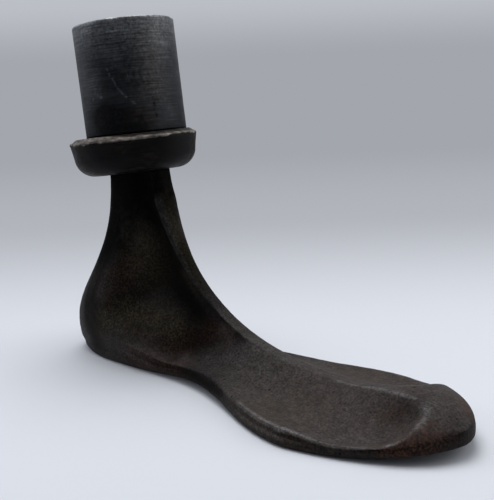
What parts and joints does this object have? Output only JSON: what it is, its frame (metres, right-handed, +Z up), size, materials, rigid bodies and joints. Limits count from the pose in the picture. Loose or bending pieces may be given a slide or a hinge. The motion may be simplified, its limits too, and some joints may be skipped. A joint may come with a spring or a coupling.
{
  "type": "shoe last",
  "caption": "Iron cobbler's last: a scooped foot on a heel and leg that ends in a collar and a turned spigot for a bench stand's socket.",
  "frame": {"origin": "on the floor under the heel, where the axis of the leaning spigot meets it", "axes": "+X to the toe, +Y to the foot's left, +Z up from the sole"},
  "size_m": [0.24, 0.084, 0.1717],
  "materials": {
    "cast_iron": "rusted dark brown, rough cast",
    "collar_iron": "grimy black, worn on the rim",
    "turned_steel": "turned, dulled blue-grey"
  },
  "bodies": {
    "root": {"last_casting": "cast_iron", "collar": "collar_iron", "spigot": "turned_steel"}
  },
  "joints": []
}
